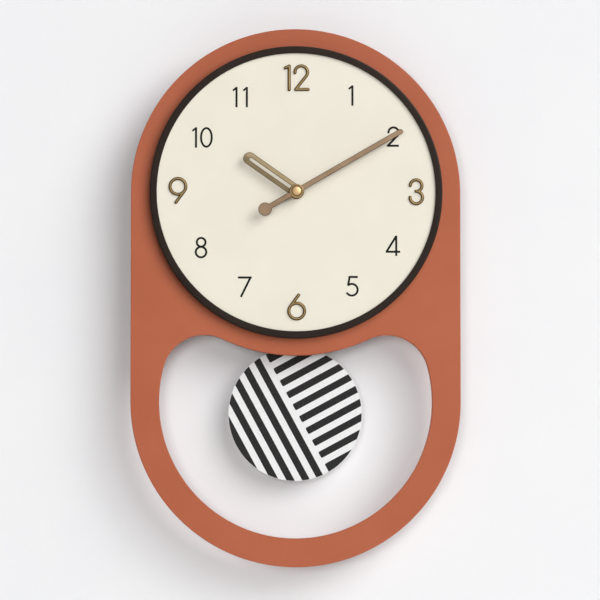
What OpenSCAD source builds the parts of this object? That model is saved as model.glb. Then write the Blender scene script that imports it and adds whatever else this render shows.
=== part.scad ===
// Pendulum wall clock: a stadium-shaped face board with a lower window for the
// bob, a round drum with the dial, and a battery movement with its gear train.
// Front view is the XZ plane, +Z up, +Y into the wall. The origin is the round
// entry of the keyhole plate, on the wall plane. Parts are drawn about the dial
// axis and their depths are distances from the wall, positive towards the room.

/* [Face board] */
// Width of the board
board_width = 300; // [290:1:320]
// Height of the board
board_height = 490; // [480:1:520]
// Thickness of the board
board_thickness = 9; // [8:0.5:12]
// Distance from the wall to the back of the board
wall_gap = 28; // [28:0.5:30]
// Radius of the lower window's bottom arc
window_radius = 124; // [115:1:128]
// Radius of the window's two upper corners
ear_radius = 38; // [34:1:42]
// Radius of the arc that bounds the window above
bridge_radius = 158; // [150:1:170]
// Drop from the dial axis to the lowest point of that arc
bridge_drop = 148; // [142:1:152]

/* [Dial] */
// Outer radius of the drum
drum_radius = 133; // [132:0.5:136]
// Radius of the opening in the drum's front lip
lip_radius = 126.5; // [124:0.5:127]
// How far the drum stands out of the board
drum_depth = 12; // [11:0.5:16]
// Thickness of the dial plate
dial_thickness = 3; // [2:0.5:4]
// Thickness of the raised numerals
numeral_height = 1.5; // [0.8:0.1:1.8]
// Stroke width of the raised numerals
stroke = 2.8; // [2:0.1:3.4]

/* [Hands] */
// Reach of the minute hand from the dial axis
minute_reach = 111; // [95:0.5:112]
// Width of the minute hand
minute_width = 4.7; // [4:0.1:6]
// Distance from the dial axis to the centre of the minute hand's tail disc
minute_tail = 33; // [28:0.5:38]
// Reach of the hour hand
hour_reach = 57.7; // [50:0.1:70]
// Width of the hour hand
hour_width = 11.2; // [9:0.1:12]
// Width of the slot along the hour hand
hour_slot = 3; // [2:0.1:5]
// Minute hand's angle from twelve at rest
minute_angle = 60; // [0:1:359]
// Hour hand's angle from twelve at rest
hour_angle = 305; // [0:1:359]

/* [Pendulum] */
// Radius of the bob
bob_radius = 61; // [50:0.5:62]
// Drop from the dial axis to the bob's centre
bob_drop = 201; // [190:1:210]
// Thickness of the bob
bob_thickness = 3; // [2:0.5:4]
// Distance from the wall to the back of the bob
bob_gap = 16; // [16:0.5:18]
// Drop from the dial axis to the pivot pin
pivot_drop = 34; // [34:0.5:36]
// Swing to each side at which the stops catch the hanger's arm
swing_limit = 15; // [10:1:20]

/* [Movement] */
// Width of the movement's case
case_width = 56; // [56:0.5:58]
// Height of the case
case_height = 105; // [105:0.5:108]
// Drop from the top of the case to the dial axis
axis_depth = 28; // [28:0.5:30]

/* [Hanging] */
// Height of the keyhole's round entry above the dial axis
keyhole_height = 82; // [80:1:84]
// Radius of the round entry
keyhole_radius = 4.5; // [4:0.1:5]
// Width of the keyhole's slot
keyhole_slot = 4.5; // [4:0.1:5]

/* [Hidden] */
$fn = 96;

// Depths, as distances from the wall
board_front = wall_gap + board_thickness;
drum_front = board_front + drum_depth;
lip_thickness = 2;
dial_front = drum_front - lip_thickness;
dial_back = dial_front - dial_thickness;
washer_thickness = 1;
case_front = dial_back - washer_thickness;
case_depth = 15.5;
case_back = case_front - case_depth;
cover_thickness = 1.5;
case_rim = case_back + cover_thickness;
front_wall = 1.5;
case_floor = case_front - front_wall;

// Fits
running = 0.05;
loose = 0.1;
touch = 0.01;
// Tangent arcs overlap by this much, so that they cross
tangent_overlap = 0.002;

// Face board
board_end = board_width / 2;
lower_centre = -(board_height - board_width);
bridge_centre = bridge_radius - bridge_drop;
ear_reach = window_radius - ear_radius;
ear_span = bridge_radius + ear_radius;
centre_span = bridge_centre - lower_centre;
ear_angle = acos((ear_reach ^ 2 + centre_span ^ 2 - ear_span ^ 2) / (2 * ear_reach * centre_span));
ear_x = ear_reach * sin(ear_angle);
ear_z = lower_centre + ear_reach * cos(ear_angle);
movement_gap = 1;

// Drum
drum_wall = 4;
dial_radius = drum_radius - drum_wall - 0.3;
boss_ring = dial_radius - 4.2;
boss_radius = 5;
ring_screw_angles = [20, 90, 160, 200, 270, 340];
ring_screw_radius = 1.5;
ring_screw_reach = 5.5;

// Rails behind the board and what is fixed to them
rail_back = 1.5;
rail_half_span = 95;
rail_width = 15;
top_rail_low = 72;
top_rail_high = 97;
side_rail_low = -95;
plate_half = 25;
plate_low = 73.5;
plate_high = 95.5;
keyhole_travel = 8;
pocket_depth = 12;
hanger_screw_x = 19;
hanger_screw_z = 84.5;
hanger_screw_length = 14;
bumper_x = rail_half_span - rail_width / 2;
bumper_z = -87;
bumper_radius = 6;

// Case
case_half = case_width / 2;
case_low = axis_depth - case_height;
case_wall = 1.2;
case_corner = 3;
inner_half = case_half - case_wall;
bay_low = -27.4;
bay_high = -12.4;
train_low = bay_high + 0.8;
drive_high = bay_low - 1;
screw_x = 24.5;
screw_rows = [axis_depth - 3.5, case_low + 3.5];
cover_screw_radius = 1;
plate_post_x = 20.5;
plate_post_rows = [-8.5, 15];
bushing_radius = 4;
bushing_front = dial_front + 4;

// Battery, an AA cell lying across the case
cell_radius = 7.05;
cell_z = -19.9;
cell_depth = case_back + 6.9;
cell_left = -24;
cell_right = 25.2;
nub_length = 1;
nub_radius = 2.75;

// Layers of the train, each wheel's back and front faces
wheel_thickness = 0.8;
layer_pitch = 1.1;
layer_hour = case_floor - 1;
layer_minute = layer_hour - layer_pitch;
plate_back = layer_minute - layer_pitch;
plate_front = plate_back + 0.8;
layer_centre = plate_back - layer_pitch;
layer_third = layer_centre - layer_pitch;
layer_second = layer_third - layer_pitch;
layer_intermediate = layer_second - layer_pitch;
magnet_front = layer_intermediate - 0.5;
magnet_back = magnet_front - 2;
rear_pivot = case_rim - 0.7;

// Tooth counts and modules
minute_teeth = 12;
reverser_teeth = 36;
setting_teeth = 10;
minute_module = 0.35;
reverser_leaves = 10;
hour_teeth = 40;
hour_module = minute_module * (minute_teeth + reverser_teeth) / (reverser_leaves + hour_teeth);
third_leaves = 8;
centre_teeth = 64;
second_leaves = 8;
third_teeth = 60;
third_module = 0.3;
centre_module = third_module * (second_leaves + third_teeth) / (third_leaves + centre_teeth);
second_teeth = 40;
intermediate_leaves = 8;
second_module = 0.42;
intermediate_teeth = 36;
rotor_leaves = 6;
rotor_module = 0.35;

// Directions from one arbor to the next, anticlockwise from +X, and the arbors' places
reverser_bearing = 90;
setting_bearing = 60;
third_bearing = 0;
intermediate_bearing = 160;
rotor_bearing = 140;
centre_at = [0, 0];
reverser_at = step(centre_at, reverser_bearing, spacing(minute_teeth, reverser_teeth, minute_module));
setting_at = step(reverser_at, setting_bearing, spacing(reverser_teeth, setting_teeth, minute_module));
third_at = step(centre_at, third_bearing, spacing(third_leaves, centre_teeth, centre_module));
intermediate_at = step(centre_at, intermediate_bearing,
    spacing(second_teeth, intermediate_leaves, second_module));
rotor_at = step(intermediate_at, rotor_bearing,
    spacing(intermediate_teeth, rotor_leaves, rotor_module));

// Angles of the wheels, so that each pair is in mesh at rest
reverser_phase = 0;
minute_phase = meshed(reverser_bearing + 180, reverser_teeth, reverser_phase, minute_teeth);
setting_phase = meshed(setting_bearing, reverser_teeth, reverser_phase, setting_teeth);
hour_phase = meshed(reverser_bearing + 180, reverser_leaves, 0, hour_teeth);
centre_phase = meshed(third_bearing + 180, third_leaves, 0, centre_teeth);
second_leaf_phase = meshed(third_bearing + 180, third_teeth, 0, second_leaves);
intermediate_leaf_phase = meshed(intermediate_bearing, second_teeth, 0, intermediate_leaves);
rotor_phase = meshed(rotor_bearing, intermediate_teeth, 0, rotor_leaves);

// Hands
hour_hand_back = dial_front + 6.1;
minute_hand_back = dial_front + 9.6;
hand_thickness = 0.8;
pipe_front = hour_hand_back + 1.5;
arbor_front = minute_hand_back + 2;

// Arbors
minute_radius = 1.7;
pipe_radius = 2.5;
inner_arbor = 0.9;
thin_arbor = 0.5;
rotor_radius = 0.4;
knob_arbor = 1;
tip_pivot = 0.3;

// Motor: the core, coil and stator round the rotor
core_z = 20.5;
core_width = 3;
core_left = -23;
core_right = -3;
coil_left = -19;
coil_right = -7;
stator_back = magnet_back + 0.6;
stator_front = stator_back + 0.8;
core_front = stator_front + 0.8;
coil_depth = (stator_front + core_front) / 2;

// Circuit board
board_back = case_rim + 1.2;
board_face = board_back + 1;

// Pendulum drive
drive_z = -66;
drive_coil_radius = 8.5;
drive_bore = 1.9;
drive_back = case_rim + 1;
drive_front = drive_back + 6;
magnet_radius = 5;
arm_half = 4;
arm_front = case_back - 3.3;
arm_back = arm_front - 2.4;
stop_reach = 20;
stop_radius = 1.5;
stop_x = (arm_half + stop_radius + stop_reach * sin(swing_limit)) / cos(swing_limit) + 0.15;
hub_front = case_back - 2.4;
hub_back = hub_front - 5;
hub_radius = 3.6;
pin_radius = 1;
pin_head = hub_back - 0.3;
pin_boss_front = hub_front + 0.3;
rod_width = 6;
rod_thickness = 1;
clevis_back = bob_gap - rod_thickness - 1.6;
clevis_low = -80;
clevis_high = -70;
rod_pin_z = -75.5;
rod_pin_radius = 0.8;
rod_pin_length = 6.9;
rod_low = -bob_drop - 14;

function step(from, bearing, distance) = from + distance * [cos(bearing), sin(bearing)];
function spacing(teeth_a, teeth_b, size) = size * (teeth_a + teeth_b) / 2;

// Angle of a wheel that meshes with another, which lies back along the bearing
function meshed(bearing, teeth, phase, own_teeth) =
    bearing + 180 + ((bearing - phase) * teeth / 360 - 0.5) * 360 / own_teeth;

// Outline of a toothed wheel: each tooth is a trapezoid with its own root, waist and tip
function wheel_points(teeth, size, phase) =
    let(
        radii = [teeth / 2 - 1.15, teeth / 2, teeth / 2 + 0.8] * size,
        halves = [0.68, 0.58, 0.26] * size,
        order = [[0, -1], [1, -1], [2, -1], [2, 1], [1, 1], [0, 1]]
    )
    [
        for (tooth = [0 : teeth - 1], corner = order)
            let(
                radius = radii[corner[0]],
                lean = asin(halves[corner[0]] / radius) * corner[1]
            )
            step([0, 0], phase + tooth * 360 / teeth + lean, radius)
    ];

// Shifts what is drawn about the dial axis so that the keyhole is the origin
module on_dial_axis() {
    translate([0, 0, -keyhole_height]) children();
}

// Thickens a front-view outline between two distances from the wall
module layer(back, front) {
    translate([0, -back, 0]) rotate([90, 0, 0]) linear_extrude(height = front - back) children();
}

// A round bar square to the wall at a point of the front view
module bar(at, radius, back, front) {
    layer(back, front) translate(at) circle(radius);
}

// Turns an outline of [radius, distance from the wall] about an axis at a point
module turned(at) {
    translate([at[0], 0, at[1]]) rotate([90, 0, 0]) rotate_extrude() children();
}

// An outline rectangle from its left, low, right and high edges
module panel(left, low, right, high) {
    translate([left, low]) square([right - left, high - low]);
}

module rounded_panel(left, low, right, high, corner) {
    panel(left + corner, low, right - corner, high);
    panel(left, low + corner, right, high - corner);
    for (x = [left + corner, right - corner], z = [low + corner, high - corner])
        translate([x, z]) circle(corner);
}

// A straight stroke with round ends
module stroke_line(from, to, width) {
    run = to - from;
    translate(from) rotate(atan2(run[1], run[0])) translate([0, -width / 2]) square([norm(run), width]);
    for (end = [from, to]) translate(end) circle(width / 2 + tangent_overlap);
}

// A round stroke between two angles, less than a full turn, with round ends
module stroke_arc(centre, radius, start, end, width) {
    far = 3 * radius;
    turn = (end - start) / 4;
    translate(centre) {
        intersection() {
            difference() {
                circle(radius + width / 2);
                circle(radius - width / 2);
            }
            polygon(concat([[0, 0]], [for (n = [0 : 4]) step([0, 0], start + n * turn, far)]));
        }
        for (angle = [start, end])
            translate(step([0, 0], angle, radius)) circle(width / 2 + tangent_overlap);
    }
}

// A wheel's bore, a twelve-sided hole that just clears its arbor
module flat_bore(radius) {
    circle((radius + touch) / cos(15), $fn = 12);
}

module tooth_ring(teeth, size, phase, bore) {
    difference() {
        polygon(wheel_points(teeth, size, phase));
        flat_bore(bore);
    }
}

// A wheel with its pinion in front of it, reaching to the pinion's own layer
module wheel_and_pinion(at, wheel, pinion, bore, back, reach) {
    translate([at[0], 0, at[1]]) {
        layer(back, back + wheel_thickness) tooth_ring(wheel[0], wheel[1], wheel[2], bore);
        layer(back, reach) tooth_ring(pinion[0], pinion[1], pinion[2], bore);
    }
}

// ---- Face board and drum ----

module board_outline() {
    circle(board_end);
    translate([0, lower_centre]) circle(board_end);
    panel(-board_end, lower_centre, board_end, 0);
}

// The lower window: a big bottom arc, two tangent corners and a tangent arc above
module window_outline() {
    far = 3 * window_radius;
    side = [far * sin(ear_angle), lower_centre + far * cos(ear_angle)];
    difference() {
        union() {
            difference() {
                translate([0, lower_centre]) circle(window_radius);
                polygon([[0, lower_centre], side, [side[0], far], [-side[0], far], [-side[0], side[1]]]);
            }
            for (x = [-ear_x, ear_x]) translate([x, ear_z]) circle(ear_radius + tangent_overlap);
            polygon([[0, lower_centre], [ear_x, ear_z], [0, bridge_centre], [-ear_x, ear_z]]);
        }
        translate([0, bridge_centre]) circle(bridge_radius);
    }
}

module face_board() on_dial_axis() color("#bc6e52") {
    cut = 1;
    difference() {
        layer(wall_gap, board_front) board_outline();
        layer(wall_gap - cut, board_front + cut) window_outline();
        layer(wall_gap - cut, board_front + cut)
            panel(-case_half - movement_gap, case_low - movement_gap,
                case_half + movement_gap, axis_depth + movement_gap);
        for (angle = ring_screw_angles)
            bar(step([0, 0], angle, boss_ring), ring_screw_radius + loose,
                wall_gap - cut, board_front + cut);
    }
}

module bezel_ring() on_dial_axis() color("#37342c") {
    wall_inside = drum_radius - drum_wall;
    difference() {
        union() {
            turned([0, 0]) polygon([[wall_inside, board_front], [drum_radius, board_front],
                [drum_radius, drum_front], [lip_radius, drum_front], [lip_radius, dial_front],
                [wall_inside, dial_front]]);
            for (angle = ring_screw_angles)
                bar(step([0, 0], angle, boss_ring), boss_radius, board_front, dial_back);
        }
        for (angle = ring_screw_angles)
            bar(step([0, 0], angle, boss_ring), ring_screw_radius + running,
                board_front - 1, board_front + ring_screw_reach + 0.5);
    }
}

module dial_plate() on_dial_axis() color("#f0eada") {
    layer(dial_back, dial_front) difference() {
        circle(dial_radius);
        circle(bushing_radius + loose);
    }
}

// ---- Raised numerals ----

module raised(outline_at) on_dial_axis() color("#7d6a50") {
    layer(dial_front, dial_front + numeral_height) translate(outline_at) children();
}

module figure_one() {
    stroke_line([0, -10.9], [0, 10.7], stroke);
    stroke_line([-3.7, 8.9], [0, 10.7], stroke);
}

module figure_two() {
    bowl = 5.75;
    stroke_arc([0, 5.1], bowl, -36, 184, stroke);
    stroke_line([-5.1, -10.6], step([0, 5.1], -36, bowl), stroke);
    stroke_line([-5.1, -10.6], [6.2, -10.6], stroke);
}

module figure_three() {
    stroke_arc([0, 5.5], 5.3, -62, 178, stroke);
    stroke_arc([0.1, -5.25], 5.7, -182, 92, stroke);
}

// A ring with a straight leg that leaves it at a tangent
module figure_six() {
    ring = 7.15;
    leg = [1.8, 14.5];
    span = norm(leg);
    tangent = atan2(leg[1], leg[0]) + acos(ring / span);
    difference() {
        union() {
            circle(ring + stroke / 2);
            stroke_line(leg, step([0, 0], tangent, ring), stroke);
        }
        circle(ring - stroke / 2);
    }
}

module numeral_12() {
    raised([-6.4, 104.1]) figure_one();
    raised([4.6, 104.1]) figure_two();
}

module numeral_3() {
    raised([109, 0.5]) figure_three();
}

module numeral_6() {
    raised([0.4, -108.2]) figure_six();
}

module numeral_9() {
    raised([-107.3, 4.7]) rotate(180) figure_six();
}

// ---- Rails, hanger and screws behind the board ----

module rail_top() on_dial_axis() color("#b0664b") {
    difference() {
        layer(rail_back, wall_gap) panel(-rail_half_span, top_rail_low, rail_half_span, top_rail_high);
        layer(0, rail_back + pocket_depth)
            panel(-keyhole_radius - 2, keyhole_height - keyhole_radius - 1.5,
                keyhole_radius + 2, keyhole_height + keyhole_travel + 2.5);
        for (x = [-hanger_screw_x, hanger_screw_x])
            bar([x, hanger_screw_z], ring_screw_radius + running, 0, hanger_screw_length + 0.5);
    }
}

module rail_side(side) on_dial_axis() color("#b0664b") {
    edges = [side * (rail_half_span - rail_width), side * rail_half_span];
    layer(rail_back, wall_gap) panel(min(edges), side_rail_low, max(edges), top_rail_low);
}

module rail_left() {
    rail_side(-1);
}

module rail_right() {
    rail_side(1);
}

module hanger_plate() on_dial_axis() color("#a9a9a6") {
    cut = 1;
    difference() {
        layer(0, rail_back) rounded_panel(-plate_half, plate_low, plate_half, plate_high, 3);
        bar([0, keyhole_height], keyhole_radius, -cut, rail_back + cut);
        layer(-cut, rail_back + cut)
            stroke_line([0, keyhole_height], [0, keyhole_height + keyhole_travel], keyhole_slot);
        for (x = [-hanger_screw_x, hanger_screw_x])
            turned([x, hanger_screw_z])
                polygon([[0, -0.1], [3.15, -0.1], [3.15, 0], [1.65, rail_back], [1.65, 2], [0, 2]]);
    }
}

module hanger_screws() on_dial_axis() color("#8f8f8c") {
    for (x = [-hanger_screw_x, hanger_screw_x])
        turned([x, hanger_screw_z])
            polygon([[0, 0.8], [1, 0.8], [1, 0], [3, 0], [ring_screw_radius, rail_back],
                [ring_screw_radius, hanger_screw_length - 2], [0, hanger_screw_length]]);
}

module wall_bumpers() on_dial_axis() color("#2c2b29") {
    for (side = [-1, 1])
        turned([side * bumper_x, bumper_z])
            polygon([[0, 0], [bumper_radius - 0.4, 0], [bumper_radius, 0.4],
                [bumper_radius, rail_back], [0, rail_back]]);
}

module ring_screws() on_dial_axis() color("#8f8f8c") {
    head = 3;
    for (angle = ring_screw_angles)
        turned(step([0, 0], angle, boss_ring))
            polygon([[0, wall_gap - 1], [0.9, wall_gap - 1], [0.9, wall_gap - 2],
                [head - 0.5, wall_gap - 2], [head, wall_gap - 1.2], [head, wall_gap],
                [ring_screw_radius, wall_gap],
                [ring_screw_radius, board_front + ring_screw_reach - 1.5],
                [0, board_front + ring_screw_reach]]);
}

// ---- Movement case ----

module case_outline(inset) {
    rounded_panel(-case_half + inset, case_low + inset, case_half - inset, axis_depth - inset,
        case_corner - inset);
}

// Posts for the cover's screws, the train plate and the drive coil
module case_posts() {
    for (x = [-screw_x, screw_x], z = screw_rows) bar([x, z], 2.6, case_rim, case_floor);
    for (x = [-plate_post_x, plate_post_x], z = plate_post_rows)
        bar([x, z], 1.6, plate_front, case_floor);
    bar([0, drive_z], drive_bore - loose, drive_back + 1, case_floor);
}

module movement_case() on_dial_axis() color("#2a2a2c") {
    difference() {
        union() {
            difference() {
                layer(case_rim, case_front) case_outline(0);
                layer(case_rim - 1, case_floor) {
                    panel(-inner_half, train_low, inner_half, axis_depth - case_wall);
                    panel(-inner_half, bay_low, inner_half, bay_high);
                    panel(-inner_half, case_low + case_wall, inner_half, drive_high);
                }
            }
            case_posts();
            bar(centre_at, bushing_radius, case_front - touch, bushing_front);
        }
        bar(centre_at, pipe_radius + running, case_floor - 1, bushing_front + 1);
        bar(reverser_at, thin_arbor + running, case_floor - 1, case_floor + 0.8);
        bar(setting_at, knob_arbor + running, case_floor - 1, case_floor + 0.8);
        for (x = [-screw_x, screw_x], z = screw_rows)
            bar([x, z], cover_screw_radius + running, case_rim - 1, case_rim + 8);
        for (side = [-1, 1])
            layer(case_rim - 1, case_rim + 4.5)
                panel(side > 0 ? inner_half - 0.9 : -inner_half, bay_high - 0.5,
                    side > 0 ? inner_half : -inner_half + 0.9, train_low + 0.5);
    }
}

module movement_cover() on_dial_axis() color("#333336") {
    bay_half = inner_half - 0.5;
    boss = 3.2;
    difference() {
        union() {
            layer(case_back, case_rim) case_outline(0);
            bar([0, -pivot_drop], boss, pin_boss_front, case_rim + 4);
            for (x = [-stop_x, stop_x])
                bar([x, -pivot_drop - stop_reach], stop_radius, arm_back - 0.3, case_rim);
        }
        layer(case_back - 1, case_rim + 1) panel(-bay_half, bay_low + 0.2, bay_half, bay_high - 0.2);
        bar([0, -pivot_drop], pin_radius + 0.02, pin_boss_front - 1, case_rim + 3.6);
        for (at = [centre_at, third_at, intermediate_at])
            bar(at, thin_arbor + running, rear_pivot - 0.1, case_rim + 1);
        bar(rotor_at, rotor_radius + running, rear_pivot - 0.1, case_rim + 1);
        bar(setting_at, knob_arbor + running, case_back - 1, case_rim + 1);
        for (x = [-screw_x, screw_x], z = screw_rows)
            bar([x, z], cover_screw_radius + loose, case_back - 1, case_rim + 1);
    }
}

module cover_screws() on_dial_axis() color("#8f8f8c") {
    for (x = [-screw_x, screw_x], z = screw_rows)
        turned([x, z])
            polygon([[0, case_back - 0.6], [0.6, case_back - 0.6], [0.6, case_back - 1.2],
                [1.6, case_back - 1.2], [2, case_back - 0.8], [2, case_back],
                [cover_screw_radius, case_back], [cover_screw_radius, case_rim + 6.5],
                [0, case_rim + 7.5]]);
}

module rubber_washer() on_dial_axis() color("#1f1f20") {
    layer(case_front, dial_back) difference() {
        circle(12);
        circle(bushing_radius + loose);
    }
}

module brass_washer() on_dial_axis() color("#c9a45c") {
    layer(dial_front, dial_front + 0.5) difference() {
        circle(6.5);
        circle(bushing_radius + loose);
    }
}

module hex_nut() on_dial_axis() color("#c9a45c") {
    layer(dial_front + 0.5, dial_front + 2.9) difference() {
        circle(6.3, $fn = 6);
        circle(bushing_radius + touch);
    }
}

module train_plate() on_dial_axis() color("#d8d3c4") {
    difference() {
        layer(plate_back, plate_front) rounded_panel(-22.5, -10.5, 22.5, 17.5, 2);
        bar(centre_at, inner_arbor + running, plate_back - 1, plate_front + 1);
        for (at = [reverser_at, third_at, intermediate_at])
            bar(at, thin_arbor + running, plate_back - 1, plate_front + 1);
        bar(rotor_at, rotor_radius + running, plate_back - 1, plate_front + 1);
        bar(setting_at, knob_arbor + running, plate_back - 1, plate_front + 1);
    }
}

// ---- Electrical parts ----

module circuit_board() on_dial_axis() color("#2f6a45") {
    layer(board_back, board_face) difference() {
        panel(8.5, 11, 21.5, 25.5);
        for (x = [11, 19]) translate([x, 23]) circle(0.8);
    }
    layer(board_face, board_face + 1) translate([12.5, 18.5]) circle(2.6);
}

module quartz_crystal() on_dial_axis() color("#c9c9c9") {
    radius = 0.98;
    translate([14, -board_face - radius - touch, 13]) rotate([0, 90, 0])
        cylinder(r = radius, h = 6.2);
}

module motor_core() on_dial_axis() color("#9a9a96") {
    layer(stator_front, core_front)
        panel(core_left, core_z - core_width / 2, core_right, core_z + core_width / 2);
}

module along_coil(from, to) {
    translate([from, -coil_depth, core_z]) rotate([0, 90, 0]) linear_extrude(height = to - from)
        children();
}

module motor_bobbin() on_dial_axis() color("#e6e2d2") {
    flange = 0.8;
    difference() {
        union() {
            along_coil(coil_left, coil_right) circle(2.2);
            along_coil(coil_left, coil_left + flange) circle(4);
            along_coil(coil_right - flange, coil_right) circle(4);
        }
        along_coil(coil_left - 1, coil_right + 1)
            square([core_width + 0.1, core_front - stator_front + 0.1], center = true);
    }
}

module motor_winding() on_dial_axis() color("#b5622b") {
    gap = 0.85;
    along_coil(coil_left + gap, coil_right - gap) difference() {
        circle(3.7);
        circle(2.25);
    }
}

module stator_plate() on_dial_axis() color("#9a9a96") {
    leg = 3.5;
    layer(stator_back, stator_front) difference() {
        union() {
            panel(core_left, rotor_at[1] - 3.7, -2.5, rotor_at[1] + 3.7);
            panel(core_left, rotor_at[1], core_left + leg, core_z + core_width / 2);
            panel(core_right - leg, rotor_at[1], core_right, core_z + core_width / 2);
        }
        translate(rotor_at) circle(2.9);
        translate(rotor_at) panel(-0.2, 2.5, 0.2, 3.1);
        translate(rotor_at) panel(-0.2, -3.1, 0.2, -2.5);
    }
}

module battery_cell() on_dial_axis() color("#6f7a80") {
    translate([0, -cell_depth, cell_z]) rotate([0, 90, 0]) rotate_extrude()
        polygon([[0, cell_left], [cell_radius - 1, cell_left], [cell_radius, cell_left + 0.6],
            [cell_radius, cell_right - 0.6], [cell_radius - 0.8, cell_right],
            [nub_radius, cell_right], [nub_radius, cell_right + nub_length],
            [0, cell_right + nub_length]]);
}

module contact_tab(left, right) {
    translate([left, 0, 0]) {
        translate([0, -cell_depth - 4, cell_z - 4]) cube([right - left, 8, 8]);
        translate([0, -case_rim - 4, cell_z]) cube([right - left, 3.4, 15]);
    }
}

module contact_positive() on_dial_axis() color("#cfcfcb") {
    contact_tab(cell_right + nub_length, inner_half - 0.25);
}

// A conical spring that presses on the flat end of the cell
module contact_negative() on_dial_axis() color("#cfcfcb") {
    wire = 0.35;
    sides = 8;
    turns = 2.5;
    rings = 50;
    wide = 4.2;
    narrow = 2.4;
    tab = -inner_half + 0.55;
    start = tab + wire;
    travel = cell_left - wire - start;
    rows = [for (ring = [0 : rings])
        let(
            share = ring / rings,
            turn = 360 * turns * share,
            radius = wide + (narrow - wide) * share,
            x = start + travel * share
        )
        [for (side = [0 : sides - 1])
            let(
                swing = 360 * side / sides,
                out = radius + wire * cos(swing)
            )
            [x + wire * sin(swing), -cell_depth + out * cos(turn), cell_z + out * sin(turn)]]];
    points = [for (row = rows, point = row) point];
    skin = [for (ring = [0 : rings - 1], side = [0 : sides - 1])
        let(
            next = (side + 1) % sides,
            low = ring * sides,
            high = low + sides
        )
        [low + side, low + next, high + next, high + side]];
    first = [for (side = [0 : sides - 1]) sides - 1 - side];
    last = [for (side = [0 : sides - 1]) rings * sides + side];
    polyhedron(points, concat(skin, [first, last]));
    contact_tab(-inner_half + 0.25, tab);
}

module drive_bobbin() on_dial_axis() color("#e6e2d2") {
    rim = drive_coil_radius + 0.5;
    barrel = drive_bore + 0.9;
    flange = 0.8;
    turned([0, drive_z])
        polygon([[drive_bore, drive_back], [rim, drive_back], [rim, drive_back + flange],
            [barrel, drive_back + flange], [barrel, drive_front - flange],
            [rim, drive_front - flange], [rim, drive_front], [drive_bore, drive_front]]);
}

module drive_winding() on_dial_axis() color("#b5622b") {
    margin = 0.85;
    layer(drive_back + margin, drive_front - margin) translate([0, drive_z]) difference() {
        circle(drive_coil_radius);
        circle(drive_bore + 0.95);
    }
}

module pivot_pin() on_dial_axis() color("#b9b9b6") {
    head = 2.2;
    turned([0, -pivot_drop])
        polygon([[0, pin_head - 1.2], [head - 0.3, pin_head - 1.2], [head, pin_head - 0.9],
            [head, pin_head], [pin_radius, pin_head], [pin_radius, case_rim + 3.4],
            [0, case_rim + 3.4]]);
}

// ---- Hands and motion work ----

module minute_arbor() on_dial_axis() color("#c9a45c") {
    shoulder = layer_hour - 0.2;
    tail = layer_centre - 0.2;
    turned(centre_at)
        polygon([[0, tail + 0.8], [tip_pivot + running, tail + 0.8], [tip_pivot + running, tail],
            [inner_arbor, tail], [inner_arbor, shoulder], [minute_radius, shoulder],
            [minute_radius, arbor_front], [0, arbor_front]]);
}

module minute_pinion() on_dial_axis() color("#e8e4d8") {
    layer(layer_minute, layer_minute + wheel_thickness)
        tooth_ring(minute_teeth, minute_module, minute_phase, inner_arbor);
}

// The hub has a raised rim that stands round the cap
module minute_hand() on_dial_axis() color("#96826e") {
    hub = 6.4;
    rim = 1.5;
    rim_height = 0.5;
    tail_disc = 6;
    hand_front = minute_hand_back + hand_thickness;
    rotate([0, minute_angle, 0]) {
        layer(hand_front - touch, hand_front + rim_height) difference() {
            circle(hub);
            circle(hub - rim);
        }
        layer(minute_hand_back, minute_hand_back + hand_thickness) difference() {
            union() {
                stroke_line([0, -minute_tail], [0, minute_reach - minute_width / 2], minute_width);
                translate([0, -minute_tail]) circle(tail_disc);
                circle(hub);
            }
            circle(minute_radius + touch);
        }
        layer(minute_hand_back - 1.4, minute_hand_back + touch) difference() {
            circle(3.2);
            circle(minute_radius + touch);
        }
    }
}

// A low dome over the end of the minute arbor
module hand_cap() on_dial_axis() color("#d9b06a") {
    radius = 4.5;
    foot = minute_hand_back + hand_thickness;
    rim = 0.8;
    crown = 1.2;
    ball = (radius ^ 2 + crown ^ 2) / (2 * crown);
    difference() {
        union() {
            bar(centre_at, radius, foot, foot + rim);
            intersection() {
                translate([0, -(foot + rim + crown - ball), 0]) sphere(ball);
                bar(centre_at, radius, foot + rim - touch, foot + rim + 2 * crown);
            }
        }
        bar(centre_at, minute_radius + touch, foot - 1, arbor_front + touch);
    }
}

module hour_pipe() on_dial_axis() color("#e8e4d8") {
    layer(layer_hour - 0.1, pipe_front) difference() {
        circle(pipe_radius);
        circle(minute_radius + running);
    }
}

module hour_wheel() on_dial_axis() color("#e8e4d8") {
    layer(layer_hour, layer_hour + wheel_thickness)
        tooth_ring(hour_teeth, hour_module, hour_phase, pipe_radius);
}

module hour_hand() on_dial_axis() color("#96826e") {
    hub = 6.8;
    round_centre = hour_reach - hour_width / 2;
    slot_near = 4.6 + hour_slot / 2;
    slot_far = round_centre - hour_slot / 2;
    rotate([0, hour_angle, 0]) {
        layer(hour_hand_back, hour_hand_back + hand_thickness) difference() {
            union() {
                circle(hub);
                stroke_line([0, 0], [0, round_centre], hour_width);
            }
            circle(pipe_radius + touch);
            stroke_line([0, slot_near], [0, slot_far], hour_slot);
        }
        layer(hour_hand_back - 1.6, hour_hand_back + touch) difference() {
            circle(3.8);
            circle(pipe_radius + touch);
        }
    }
}

module reverser_wheel() on_dial_axis() color("#e8e4d8") {
    wheel_and_pinion(reverser_at, [reverser_teeth, minute_module, reverser_phase],
        [reverser_leaves, hour_module, 0], thin_arbor, layer_minute, layer_hour + wheel_thickness);
}

module reverser_arbor() on_dial_axis() color("#b9b9b6") {
    bar(reverser_at, thin_arbor, plate_back + 0.1, case_floor + 0.7);
}

module setting_pinion() on_dial_axis() color("#e8e4d8") {
    layer(layer_minute, layer_minute + wheel_thickness) translate(setting_at)
        tooth_ring(setting_teeth, minute_module, setting_phase, knob_arbor);
}

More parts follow.
